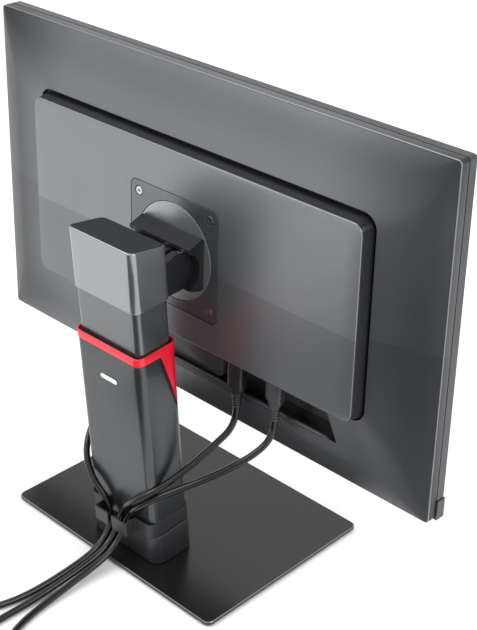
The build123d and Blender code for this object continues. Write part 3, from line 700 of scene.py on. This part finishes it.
def coilTie(x, y, t):
    # a flat strap round the coil's turns: four outlines, inner and outer on each side, in a loop
    inner = outline(
        (t["low"][0] + t["thick"], t["low"][1] + t["thick"]),
        (t["high"][0] - t["thick"], t["high"][1] - t["thick"]), t["corner"] - t["thick"], side=4,
    )
    outer = outline(t["low"], t["high"], t["corner"], side=4)
    half = t["wide"] / 2
    rings = np.array([
        np.stack([x + flat[:, 0], np.full(len(flat), y + shift), flat[:, 1]], 1)
        for flat, shift in ((inner, -half), (outer, -half), (outer, half), (inner, half))
    ])
    around = rings.shape[1]
    ring, step = np.arange(4)[:, None], np.arange(around)[None, :]
    following = (ring + 1) % 4
    faces = np.stack([
        ring * around + step, ring * around + (step + 1) % around,
        following * around + (step + 1) % around, following * around + step,
    ], -1).reshape(-1, 4)
    return rings, faces.tolist()


for cordName, node, mains in (
    ("videoCordA", "video_end_a", False), ("videoCordB", "video_end_b", False),
    ("powerCord", "mains_plug", True),
):
    route = routes[cordName]
    x, y, way = route["coil"]
    plugName = route["plug"]
    moulded, metal = lyingPlug(x + way * 45.0, y + 38.0, way, mains, route["plugLevel"])
    plug = addPiece(plugName, *moulded, "base", "mouldedPlugPvc", (node,), "plug_pvc", sharp=40)
    contacts = addPiece(
        plugName + "Metal", *metal, "base", "zincPlatedSteel", (node,), "steel", sharp=40
    )
    strap = coilTie(x - way * 38.0, y + 2.0, tieLook)
    tie = addPiece(plugName + "Tie", *strap, "base", "mattRubber", (), "rubber", sharp=50)
    for n in range(4):
        piece, stretch = cordPieces[f"{cordName}{n + 1}"]

# rear cover, one ring of points after another from the seam in to the mounting opening

cover = {
    "x": (-306.5, 306.5), "z": (143.25, 509.75), "seam": -27.5, "rim": -15.8, "edge": 0.8,
    "shoulder": 32.0, "shoulderY": -4.5, "corner": 4.0,
    "humpX": (-234.0, 212.8), "humpZ": (235.4, 436.7), "grow": 3.4, "humpCorner": 10.0,
    "humpBase": 4.9, "humpFace": 19.0, "groove": 1.6, "topGroove": 3.0, "grooveFloor": 1.2,
    "openingHalf": 62.2, "openingCorner": 9.0, "openingZ": 330.0,
    "recessX": (-204.0, 120.0), "recessZ": (190.0, 233.6), "recessFloor": -14.0, "slant": 12.0,
}


def coverRing(xLow, xHigh, zLow, zHigh, corner, y):
    # a rounded rectangle in X and Z, all at the depth y
    flat = outline((xLow, zLow), (xHigh, zHigh), corner, side=24, corner=10)
    return np.stack([flat[:, 0], np.full(len(flat), y), flat[:, 1]], 1)


def coverRings(c):
    # rounded rectangles of the same number of points, drawn in and moved back by the profile:
    # rim, crown, shoulder, air slot, raised back, opening; kinds says what finish each strip has
    def panel(inset, corner, y):
        return coverRing(
            c["x"][0] + inset, c["x"][1] - inset, c["z"][0] + inset, c["z"][1] - inset, corner, y,
        )

    def hump(grow, y, top=0.0, corner=None):
        return coverRing(
            c["humpX"][0] - grow, c["humpX"][1] + grow, c["humpZ"][0] - grow,
            c["humpZ"][1] + grow + top, (c["humpCorner"] if corner is None else corner) + grow, y,
        )

    rings, kinds = [], []

    def add(ring, kind):
        rings.append(ring)
        kinds.append(kind)

    add(panel(0.9, 3.4, c["seam"]), 3)
    add(panel(0.9, 3.4, c["seam"] + 0.7), 3)
    add(panel(0.15, 4, c["seam"] + 0.9), 3)
    add(panel(0, 4, c["seam"] + 1.2), 3)
    add(panel(0, 4, c["rim"] - 1.0), 3)
    for t in np.linspace(0.15, 1, 4):  # the rim's rounding
        inset = c["edge"] * (1 - math.cos(t * math.pi / 2))
        add(panel(inset, 4, c["rim"] - c["edge"] * (1 - math.sin(t * math.pi / 2))), 4)
    for t in np.linspace(0.04, 1, 14):  # the crown: steep at the rim, easing off to the shoulder
        inset = c["edge"] + (c["shoulder"] - c["edge"]) * t
        rise = (c["shoulderY"] - c["rim"]) * (1.32 * t - 0.32 * t * t)
        add(panel(inset, 4 + 0.9 * inset, c["rim"] + rise), 3)
    shoulder = rings[-1]
    lip = hump(c["grow"] + c["groove"] + 0.5, c["humpBase"] - 0.1, c["topGroove"] - c["groove"])
    for t in np.linspace(0.1, 1, 10):
        add(shoulder + (lip - shoulder) * t, 3)
    # the groove round the hump is near-black: painted shade in the slot
    add(hump(c["grow"] + c["groove"] + 0.1, c["humpBase"] - 0.5, c["topGroove"] - c["groove"]), 1)
    add(hump(c["grow"] + c["groove"], c["grooveFloor"], c["topGroove"] - c["groove"]), 1)
    add(hump(c["grow"], c["grooveFloor"]), 1)
    add(hump(c["grow"], c["humpBase"]), 2)
    add(hump(c["grow"] * 0.12 + 0.2, c["humpFace"] - 1.2), 2)
    for t in np.linspace(0.2, 1, 4):  # the face's rounded edge
        turn = t * math.pi / 2
        add(hump(0.6 - 1.2 * (1 - math.cos(turn)), c["humpFace"] - 1.2 * (1 - math.sin(turn))), 0)
    face = rings[-1]
    half = c["openingHalf"]
    opening = coverRing(
        -half, half, c["openingZ"] - half, c["openingZ"] + half, c["openingCorner"], c["humpFace"],
    )
    for t in np.linspace(0.1, 1, 9):
        add(face + (opening - face) * t, 0)
    # the inside of the opening is near-black: painted shade
    add(opening - np.array([0, 0.4, 0]), 1)
    add(opening - np.array([0, 5.0, 0]), 1)
    return np.array(rings), kinds


def cutRecess(piece, c):
    # the connector recess is a box with one slanted side, taken out with an exact Boolean
    (x0, x1), (z0, z1) = c["recessX"], c["recessZ"]
    front, back = c["recessFloor"], 12.0
    corners = np.array([
        (x0, z0), (x1, z0), (x1, z1), (x0 + c["slant"], z1)
    ], float)
    points = [(x, front, z) for x, z in corners] + [(x, back, z) for x, z in corners]
    faces = [[0, 1, 2, 3], [7, 6, 5, 4], [0, 4, 5, 1], [1, 5, 6, 2], [2, 6, 7, 3], [3, 7, 4, 0]]
    mesh = makeMesh("recessCutter", points, faces)
    mesh.materials.append(finishes["recessAbs"])
    cutter = bpy.data.objects.new("recessCutter", mesh)
    scene.collection.objects.link(cutter)
    cut = piece.modifiers.new("recess", "BOOLEAN")
    cut.operation, cut.solver, cut.object = "DIFFERENCE", "EXACT", cutter
    cut.material_mode = "TRANSFER"
    bpy.context.view_layer.update()
    made = bpy.data.meshes.new_from_object(
        piece.evaluated_get(bpy.context.evaluated_depsgraph_get())
    )
    piece.modifiers.clear()
    piece.data = made
    bpy.data.objects.remove(cutter)
    smooth(made, 30)


# smoother, darker ABS inside the recess
makeFinish("recessAbs", ("#0e0f11", "#131416"), (0.3, 0.38), 1.0, relief=0.1)
rings, kinds = coverRings(cover)
around = rings.shape[1]
faces = ringFaces(rings.shape[0], around)
coverPiece = addPiece(
    "rearCover", rings, faces, None, "sparkTexturedLacquer", ("rear_cover", "vent_mesh"),
    "cover_plastic", sharp=30,
)
coverFinishes = ("blackVentAbs", "polishedAbsWall", "sparkTexturedPanel", "rimHighlightLacquer")
finishStrips(coverPiece, coverFinishes, kinds[1:], around, [0, 1])
cutRecess(coverPiece, cover)
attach(coverPiece, "display")
print("rear cover:", len(coverPiece.data.polygons), "faces")

# stand: everything on the leaning axis is a stack of rounded rectangles

stand = {"lean": 4.8, "axisY": 62.0}


def onColumn(flat, level):
    # across the column in X and its own depth, up it by level, leaning back by the stand's angle
    lean = math.radians(stand["lean"])
    x, y = flat[:, 0], flat[:, 1]
    level = np.broadcast_to(level, len(flat))
    return np.stack([
        x, stand["axisY"] + y * math.cos(lean) + level * math.sin(lean),
        level * math.cos(lean) - y * math.sin(lean),
    ], 1)


def rounding(radius, steps=5):
    # (inset, drop) pairs round a quarter circle, from the wall's foot of the arc to its top
    turn = np.linspace(0, math.pi / 2, steps)
    return [(radius * (1 - math.cos(t)), radius * (1 - math.sin(t))) for t in turn]


capLook = {
    "width": 92.0, "depth": 47.0, "shift": 0.8, "corner": 7.5, "low": 311.5, "roof": 373.62,
    "rise": 0.2132, "edge": 1.8, "lip": 1.6, "inside": 1.9, "insideHigh": 364.0,
}


def capRings(c):
    # the outline up the axis: inside, lip, wall, quarter-circle edge, then the roof, whose level
    # rises with the depth
    def flat(inset):
        return insetOutline(c, inset)

    rings = [
        onColumn(flat(c["inside"]), c["insideHigh"]), onColumn(flat(c["inside"]), c["low"] + 4),
    ]
    rings += [onColumn(flat(c["lip"]), c["low"] + 4), onColumn(flat(c["lip"]), c["low"] + 0.3)]
    rings += [
        onColumn(flat(0.5 - i), c["low"] + d)
        for i, d in ((0.0, 0.0), (0.35, 0.15), (0.5, 0.5))
    ]
    for inset, drop in rounding(c["edge"], 7):
        o = flat(inset)
        rings.append(onColumn(o, c["roof"] + c["rise"] * o[:, 1] - drop))
    for inset in (4.0, 8.0, 14.0, 19.0):
        o = flat(inset)
        rings.append(onColumn(o, c["roof"] + c["rise"] * o[:, 1]))
    return rings


capShape = capRings(capLook)
cap = ringPiece(
    "headCap", capShape, "carriage", "satinGreyLacquer", ("head_cap",), "cap_plastic", sharp=50,
)
roofFrom = 12  # the ring where the edge's rounding turns into the roof
strips = [n >= roofFrom for n in range(len(capShape) - 1)]
finishStrips(cap, ("shadedRoofLacquer",), strips, len(capShape[0]), [0, 1])

innerLook = {
    "width": 88.4, "depth": 43.4, "shift": 0.8, "corner": 6.5, "low": 150.0, "high": 340.0,
}
innerOutline = insetOutline(innerLook, 0)
ringPiece(
    "innerColumn",
    [
        onColumn(innerOutline, level)
        for level in np.linspace(innerLook["low"], innerLook["high"], 9)
    ],
    "carriage", "satinInnerLacquer", ("inner_column",), "stand_plastic",
)

columnLook = {
    "low": 16.0, "high": 254.0, "foot": (97.0, 48.5), "neck": (94.0, 51.5), "corner": 8.5,
    "shift": 0.8, "wedge": ((-34.0, 168.0), (-25.0, 172.0), (-3.0, 254.0)), "gap": 0.9,
    "ring": (95.2, 52.7), "wall": 1.9, "wallLow": 20.0,
}


def columnOutline(c, level, inset=0.0):
    # width and depth run straight from the foot to the neck
    share = (level - c["low"]) / (c["high"] - c["low"])
    width = c["foot"][0] + (c["neck"][0] - c["foot"][0]) * share
    depth = c["foot"][1] + (c["neck"][1] - c["foot"][1]) * share
    return centredOutline(
        width - 2 * inset, depth - 2 * inset, c["corner"] - inset, c["shift"], side=16, corner=12
    )


def taperedRing(c, level, inset=0.0):
    # level may differ from point to point: the outline at each point's own level
    low, high = columnOutline(c, c["low"], inset), columnOutline(c, c["high"], inset)
    share = ((level - c["low"]) / (c["high"] - c["low"]))[:, None]
    return onColumn(low + (high - low) * share, level)


def wedgeLevel(c):
    # the column's top edge: level at the back, falling along the wedge towards the display
    depths, levels = zip(*c["wedge"])
    level = np.full(len(columnOutline(c, c["high"])), c["high"])
    for _ in range(3):
        low, high = columnOutline(c, c["low"]), columnOutline(c, c["high"])
        share = (level - c["low"]) / (c["high"] - c["low"])
        depth = low[:, 1] + (high[:, 1] - low[:, 1]) * share
        level = np.interp(depth, depths, levels)
    return level


top = wedgeLevel(columnLook)
rings = [
    taperedRing(
        columnLook, columnLook["low"] + (top - columnLook["gap"] - 0.6 - columnLook["low"]) * t,
    )
    for t in np.linspace(0, 1, 14)
]
rings += [taperedRing(columnLook, top - columnLook["gap"] - d, i) for i, d in rounding(0.6, 4)[1:]]
# the inside of the tube
insideHeight = top - columnLook["gap"] - 0.5 - columnLook["wallLow"]
rings += [
    taperedRing(columnLook, columnLook["wallLow"] + insideHeight * t, columnLook["wall"])
    for t in np.linspace(1, 0, 6)
]
ringPiece(
    "lowerColumn", rings, "column", "satinCharcoalLacquer", ("lower_column",), "stand_plastic",
    sharp=50,
)

start = np.minimum(top, columnLook["high"] - 0.8)
rings = [taperedRing(columnLook, start + 0.5, 1.8), taperedRing(columnLook, start, 0.6),
         taperedRing(columnLook, start + 0.15, 0.15), taperedRing(columnLook, start + 0.45, 0.0)]
rings += [
    taperedRing(columnLook, start + 0.45 + (columnLook["high"] - start - 0.45) * t)
    for t in np.linspace(0.15, 1, 7)
]


trimLook = {**columnLook, "width": columnLook["ring"][0], "depth": columnLook["ring"][1]}
for inset, level in (
    (0.25, 254.2), (0.06, 254.5), (0.0, 255.0), (0.0, 261.8), (0.15, 262.5), (0.5, 262.9),
    (0.9, 263.0), (1.5, 262.8), (1.7, 262.0), (1.8, 256.0),
):
    rings.append(onColumn(insetOutline(trimLook, inset, side=16), level))
ringPiece(
    "redTrim", rings, "column", "redAbs", ("red_trim",), "red_plastic", closedStart=False,
    closedEnd=False, sharp=50,
)

# the black sleeve seen in the gaps under and inside the coloured ring: painted shadow in those
# gaps
# width, depth and level of each ring
sleeve = [
    (90.0, 47.5, 250.5), (90.4, 47.9, 251.0), (90.6, 48.1, 256.0), (91.2, 48.7, 256.5),
    (91.2, 48.7, 260.0), (89.0, 44.0, 260.0),
]
ringPiece(
    "shadowGapSleeve",
    [onColumn(centredOutline(w, d, 7.0, 0.8, side=8, corner=12), level) for w, d, level in sleeve],
    "column", "blackVentAbs", ("red_trim",), "plug_pvc", closedStart=False, closedEnd=False,
)
print("column made")

collarLook = {
    "width": 102.0, "depth": 55.0, "corner": 12.0, "shift": 1.2, "floor": 6.6, "high": 43.5,
    "edge": 1.2,
}


def collarRings(c):
    # the outline from the level base, (floor + depth sin lean) / cos lean, up to a rounded top
    lean = math.radians(stand["lean"])

    def flat(inset):
        return insetOutline(c, inset)

    def foot(o, height):
        return (c["floor"] + height + o[:, 1] * math.sin(lean)) / math.cos(lean)

    rings = []
    for inset, height in ((0.8, 0.0), (0.25, 0.15), (0.0, 0.7)):
        o = flat(inset)
        rings.append(onColumn(o, foot(o, height)))
    for inset, drop in rounding(c["edge"], 5):
        rings.append(onColumn(flat(inset), c["high"] - drop))
    rings.append(onColumn(flat(2.6), c["high"] - 0.1))
    return rings


ringPiece(
    "footCollar", collarRings(collarLook), "column", "matteClipAbs", ("foot_collar",),
    "stand_plastic", sharp=50,
)
softened("cable_clip", "cableClip", "column", "matteClipAbs", 0.5)
badge = softened("badge", "badge", "column", "whitePadInk", 0.15, segments=2)
badgeShift = (0, 0.0037, -0.0003)  # metres, out to the column's surface
badge.data.transform(Matrix.Translation(badgeShift))
# the guide strips are near-black: painted shade for the narrow slit beside the inner column
softened("guide_strips", "guideStrips", "carriage", "blackVentAbs", 0.2, segments=2)
print("collar and clip made")

baseLook = {"width": 300.0, "depth": 229.0, "corner": 7.5, "low": 2.0, "high": 6.0, "chamfer": 0.8}


def baseRings(c):
    # the outline drawn in along the plate's edge profile of (inset, height) steps
    def flat(inset):
        return insetOutline(c, inset, side=10, least=1.0)

    steps = [(1.2, 0.0), (0.5, 0.1), (0.1, 0.45), (0.0, 1.0), (0.0, c["high"] - c["low"] - 1.0)]
    rings = [(flat(i), c["low"] + h) for i, h in steps]
    rings += [(flat(c["chamfer"] * s), c["high"] - 1.0 + 1.0 * s) for s in (0.35, 0.7, 0.92, 1.0)]
    rings += [(flat(i), c["high"]) for i in (1.6, 6.0, 30.0)]
    return [np.concatenate([o, np.full((len(o), 1), z)], 1) for o, z in rings]


rings = baseRings(baseLook)
plate = ringPiece(
    "basePlate", rings, "base", "blackPowderCoat", ("base_plate",), "base_paint", sharp=28,
)
# the chamfer strips take the painted highlight finish
highlightStrips = [0, 0, 0, 0, 0, 1, 1, 0, 0, 0, 0]  # 1 where the chamfer shines
finishStrips(plate, ("highlightCoatedEdge",), highlightStrips, len(rings[0]), [0, 0])
softened("rubber_feet", "rubberFeet", "base", "mattRubber", 0.4)
print("base made")

# head: mounting plate, screws, disc, block, arm

softened("vesa_plate", "mountPlate", "display", "satinPlateCoat", 0.45)
softened("vesa_screws", "mountScrews", "display", "zincPlatedSteel", 0.25)
softened("pivot_disc", "pivotDisc", "head", "satinDieCastPaint", 0.45)
softened("tilt_block", "tiltBlock", "head", "satinBlockAbs", 0.7)
softened("tilt_lugs", "tiltLugs", "head", "zincPlatedSteel", 0.4)
softened("neck_arm", "neckArm", "carriage", "satinBlockAbs", 1.0)
softened("tilt_shaft", "tiltShaft", "carriage", "zincPlatedSteel", 0.4)

cheekLook = {
    "axis": (46.0, 327.0), "barrel": 21.0, "low": 306.0, "high": 344.0, "back": 79.0, "half": 34.0,
    "edge": 0.9,
}


def cheeks(c):
    # the arm's side view: the barrel's arc running into the square arm behind it
    (cy, cz), r = c["axis"], c["barrel"]
    rise = math.degrees(math.asin((c["high"] - cz) / r))
    angle = np.radians(np.linspace(270, rise, 34))
    side = np.concatenate([
        np.stack([cy + r * np.cos(angle), cz + r * np.sin(angle)], 1),
        [(c["back"], c["high"]), (c["back"], c["low"])],
    ])
    middle = side.mean(0)
    shapes = []
    for way in (-1, 1):
        rings = []
        for inset, drop in [(0.0, 1.4)] + rounding(c["edge"], 4):
            shrink = 1 - inset / 24
            flat = middle + (side - middle) * shrink
            rings.append(
                np.stack(
                    [np.full(len(flat), way * (c["half"] + 0.4 - drop)), flat[:, 0], flat[:, 1]],
                    1,
                )
            )
        shapes.append((np.array(rings), ringFaces(len(rings), len(side))))
    return joined(shapes)


addPiece(
    "armCheeks", *cheeks(cheekLook), "carriage", "satinBlockAbs", ("neck_arm",), "stand_plastic",
    sharp=50,
)

# plated spring ends on the barrel, seen in the gap under the block: patches of its own arc
springLook = {
    "axis": (46.0, 327.0), "radii": (20.8, 21.8), "arc": (100.0, 112.0),
    "ends": ((28.5, 33.6), (-12.0, -7.5), (-33.7, -29.5)),
}


def springEnds(c):
    # between two radii over one arc of the barrel, carried along X
    (cy, cz), (inner, outer) = c["axis"], c["radii"]
    angle = np.radians(np.linspace(c["arc"][0], c["arc"][1], 7))
    profile = np.concatenate([
        np.stack([cy + outer * np.cos(angle), cz + outer * np.sin(angle)], 1),
        np.stack([cy + inner * np.cos(angle[::-1]), cz + inner * np.sin(angle[::-1])], 1),
    ])
    return joined(
        [
            (
                np.array(
                    [
                        np.stack([np.full(len(profile), x), profile[:, 0], profile[:, 1]], 1)
                        for x in pair
                    ]
                ),
                ringFaces(2, len(profile)),
            )
            for pair in c["ends"]
        ]
    )


addPiece(
    "springEnds", *springEnds(springLook), "carriage", "zincPlatedSteel", ("tilt_shaft",), "steel",
)

crossLook = {"pitch": 100.0, "middle": 330.0, "face": 18.86, "long": 3.4, "wide": 0.8}


def crosses(c):
    # a plus-shaped twelve-cornered face in each screw's head
    a, b = c["wide"] / 2, c["long"] / 2
    plus = np.array(
        [
            (a, a), (b, a), (b, -a), (a, -a), (a, -b), (-a, -b), (-a, -a), (-b, -a), (-b, a),
            (-a, a), (-a, b), (a, b),
        ]
    )
    turn = math.radians(20)
    plus = plus @ np.array([[math.cos(turn), math.sin(turn)], [-math.sin(turn), math.cos(turn)]])
    shapes = []
    for x in (-c["pitch"] / 2, c["pitch"] / 2):
        for z in (-c["pitch"] / 2, c["pitch"] / 2):
            rings = [np.stack([x + plus[:, 0], np.full(12, y), c["middle"] + z + plus[:, 1]], 1)
                     for y in (c["face"] - 0.5, c["face"])]
            shapes.append((np.array(rings), ringFaces(2, 12)))
    return joined(shapes)


# the crosses are near-black: painted shade in the screws' recesses
addPiece("screwCrosses", *crosses(crossLook), "display", "blackVentAbs", ("vesa_screws",), "steel")
print("head made")

# front: frame, chin, picture panel, keys

softened("front_bezel", "frontFrame", "display", "satinBezelAbs", 0.6)
softened("chin_trim", "chinTrim", "display", "satinBezelAbs", 0.4)
softened("lcd_glass", "screenGlass", "display", "antiGlareGlass", 0.2, segments=2)
for n in range(1, 5):
    softened(
        f"menu_key_{n}", f"menuKey{n}", f"menu_key_{n}_body", "satinBezelAbs", 0.4,
    )
softened("power_key", "powerKey", "power_key_body", "satinBezelAbs", 0.4)

# the recess's bottom lip: a rounded bead that catches the light, with a thin lower one beside it
lipLook = {"x": (-200.0, 118.0), "beads": ((-4.3, 188.7, 2.7), (-3.1, 183.9, 0.9))}


def lipBeads(c):
    # tubes along X with radius times sqrt(1 - u^30), which rounds their ends
    shapes = []
    for y, z, radius in c["beads"]:
        path = np.stack([np.linspace(c["x"][0], c["x"][1], 24), np.full(24, y), np.full(24, z)], 1)
        size = radius * np.sqrt(np.clip(1 - np.abs(np.linspace(-1, 1, 24)) ** 30, 0.02, 1))
        rings = tubeRings(path, size, 16)
        shapes.append((rings, ringFaces(24, 16)))
    return joined(shapes)


addPiece(
    "recessLip", *lipBeads(lipLook), "display", "satinBezelAbs", ("rear_cover",), "cover_plastic",
    sharp=60,
)
# the recess's shallow end over the mains inlet: a flat panel with one rounded end
panelLook = {
    "low": (-46.0, 190.6), "high": (119.0, 232.6), "corner": 7.0, "floor": -13.0, "face": -7.5,
    "edge": 0.8,
}


def panelRings(p):
    # the outline drawn in along a quarter circle up to the flat face
    low, high = np.array(p["low"]), np.array(p["high"])
    steps = [(0.0, p["floor"])] + [
        (inset, p["face"] - drop)
        for inset, drop in rounding(p["edge"], 4)
    ]
    return [np.stack([flat[:, 0], np.full(len(flat), y), flat[:, 1]], 1)
            for inset, y in steps
            for flat in [outline(low + inset, high - inset, p["corner"] - inset)]]


ringPiece(
    "recessPanel", panelRings(panelLook), "display", "satinBezelAbs", ("rear_cover",),
    "cover_plastic", sharp=50,
)
print("front and recess made")

# stage: a pale floor, soft boxes, white surroundings

stage = {"floor": 4.5, "floorTone": "#fbfbfb", "worldTone": "#ffffff", "worldStrength": 0.93}


def makeStage(s):
    # a flat disc for the floor, and an even white surrounding
    angle = np.linspace(0, 2 * math.pi, 96, endpoint=False)
    circle = np.stack([np.cos(angle), np.sin(angle), np.zeros(96)], 1) * s["floor"]
    mesh = bpy.data.meshes.new("floor")
    mesh.from_pydata(circle.tolist(), [], [list(range(96))])
    floor = bpy.data.objects.new("floor", mesh)
    scene.collection.objects.link(floor)
    material = bpy.data.materials.new("palePaperSweep")  # matt paper
    material.use_nodes = True
    shader = material.node_tree.nodes["Principled BSDF"]
    shader.inputs["Base Color"].default_value = linearColor(s["floorTone"])
    shader.inputs["Roughness"].default_value = 0.85
    mesh.materials.append(material)
    world = bpy.data.worlds.new("studio")
    world.use_nodes = True
    background = world.node_tree.nodes["Background"]
    background.inputs["Color"].default_value = linearColor(s["worldTone"])
    background.inputs["Strength"].default_value = s["worldStrength"]
    scene.world = world
    scene.view_settings.view_transform = "Standard"


# a dark felt card flat on the floor that only reflections see: it draws a dark line down the
# stand's rounded corners
cardLook = {
    "name": "darkFlag", "middle": (-0.16, 0.74), "size": (0.72, 0.94), "height": 0.0008,
    "tone": "#050505",
}


def makeCard(c):
    corners = np.array([(-1, -1), (1, -1), (1, 1), (-1, 1)]) * np.array(c["size"]) / 2
    points = np.concatenate([corners + np.array(c["middle"]), np.full((4, 1), c["height"])], 1)
    mesh = bpy.data.meshes.new(c["name"])
    mesh.from_pydata(points.tolist(), [], [[0, 1, 2, 3]])
    card = bpy.data.objects.new(c["name"], mesh)
    scene.collection.objects.link(card)
    material = bpy.data.materials.new("blackFelt")
    material.use_nodes = True
    shader = material.node_tree.nodes["Principled BSDF"]
    shader.inputs["Base Color"].default_value = linearColor(c["tone"])
    shader.inputs["Roughness"].default_value = 0.9
    mesh.materials.append(material)
    card.visible_camera = card.visible_diffuse = False
    card.visible_shadow = card.visible_transmission = False


# metres and watts
softBoxes = {
    "backBox": {"at": (1.1, 1.5, 1.9), "aim": (0.1, 0.1, 0.1), "size": (1.6, 1.2), "watts": 22},
    "sideBox": {"at": (-2.0, -0.2, 1.5), "aim": (0.0, 0.0, 0.1), "size": (1.2, 1.0), "watts": 18},
    "topBox": {"at": (0.2, 0.3, 2.6), "aim": (0.0, 0.2, 0.0), "size": (2.6, 2.2), "watts": 18},
}


def makeSoftBox(name, box):
    light = bpy.data.lights.new(name, "AREA")
    light.shape, light.energy = "RECTANGLE", box["watts"]
    light.size, light.size_y = box["size"]
    lamp = bpy.data.objects.new(name, light)
    scene.collection.objects.link(lamp)
    lamp.location = box["at"]
    aim = Vector(box["aim"]) - Vector(box["at"])
    lamp.rotation_euler = aim.to_track_quat("-Z", "Y").to_euler()


makeCard(cardLook)
makeStage(stage)
for name, box in softBoxes.items():
    makeSoftBox(name, box)
print("stage and lights set")
